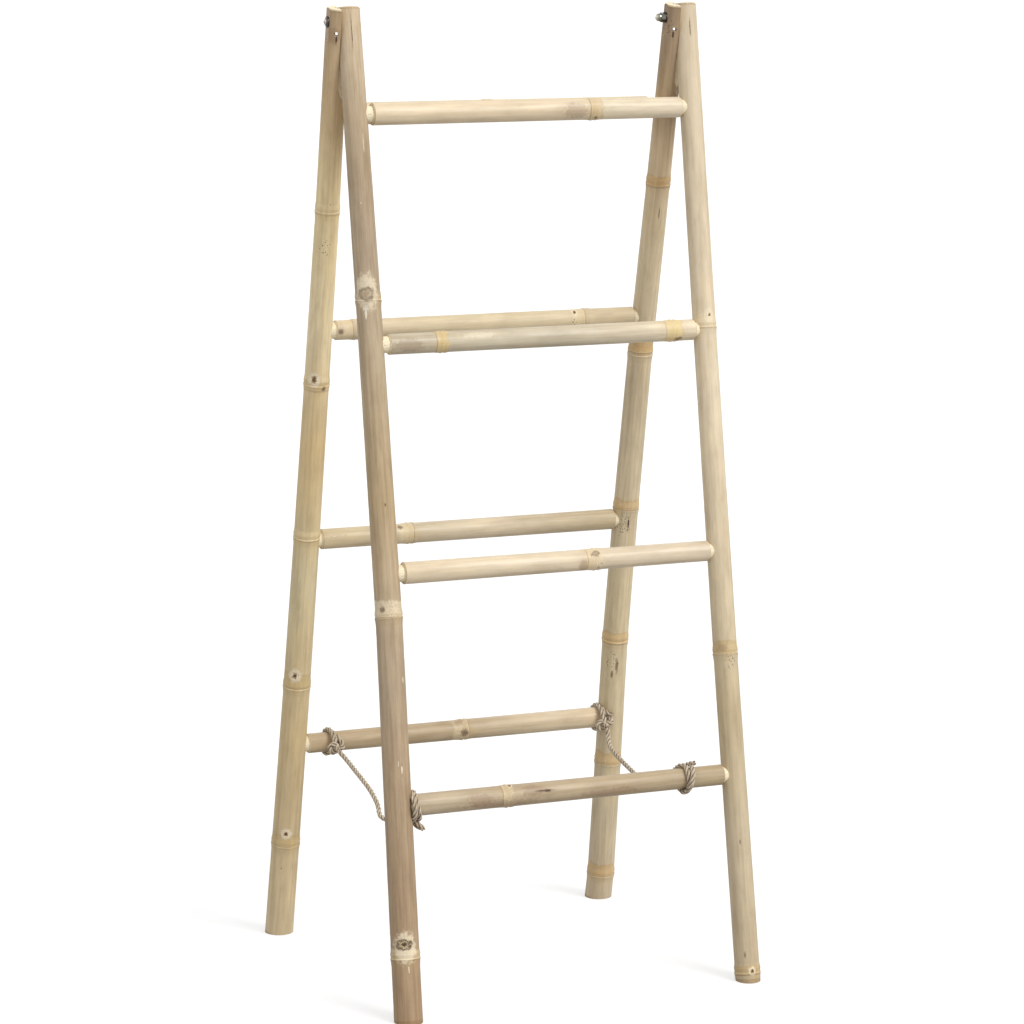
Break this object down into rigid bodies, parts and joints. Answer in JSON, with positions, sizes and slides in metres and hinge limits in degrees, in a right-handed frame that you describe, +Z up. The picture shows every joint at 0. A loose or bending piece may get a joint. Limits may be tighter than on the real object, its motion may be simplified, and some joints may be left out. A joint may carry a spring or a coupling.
{
  "type": "blanket ladder",
  "caption": "Free-standing bamboo A-frame ladder for draping blankets, pivoting on bolts at the top and held from spreading by slack ropes near the floor.",
  "frame": {"origin": "On the floor, under the middle of the whole ladder's box.", "axes": "+Z up along the ladder's height; X along the rungs; -Y is the pictured front frame's side, so the frames lean apart along Y."},
  "size_m": [0.6313, 0.5482, 1.4808],
  "materials": {
    "pole_bamboo_pinkish": "satin",
    "pole_bamboo_sand": "satin",
    "pole_bamboo_green_tan": "satin",
    "pole_bamboo_tan": "satin",
    "rung_bamboo": "semi-gloss",
    "rung_bamboo_brown": "semi-gloss",
    "bolt_steel": "satin",
    "cap_nut_chrome": "polished",
    "rope": "matte"
  },
  "bodies": {
    "front_frame": {"front_left_pole": "pole_bamboo_pinkish", "front_right_pole": "pole_bamboo_sand", "front_rung_1": "rung_bamboo_brown", "front_rung_2": "rung_bamboo", "front_rung_3": "rung_bamboo", "front_rung_4": "rung_bamboo", "left_pivot_bolt": "bolt_steel", "right_pivot_bolt": "bolt_steel", "left_lock_nut": "bolt_steel", "right_cap_nut": "cap_nut_chrome", "left_head_washer": "bolt_steel", "left_nut_washer": "bolt_steel", "right_head_washer": "bolt_steel", "right_nut_washer": "bolt_steel", "front_left_lashing": "rope", "front_right_lashing": "rope", "left_rope": "rope", "right_rope": "rope"},
    "back_frame": {"back_left_pole": "pole_bamboo_green_tan", "back_right_pole": "pole_bamboo_tan", "back_rung_1": "rung_bamboo", "back_rung_2": "rung_bamboo", "back_rung_3": "rung_bamboo", "back_rung_4": "rung_bamboo", "back_left_lashing": "rope", "back_right_lashing": "rope"}
  },
  "joints": [
    {"name": "fold", "type": "hinge", "parent": "front_frame", "child": "back_frame", "pos_m": [0.00093, -0.0005, 1.45742], "axis": [1, 0, 0], "range_deg": [-5.1, 0.8], "deforming": ["left_rope", "right_rope"]}
  ]
}
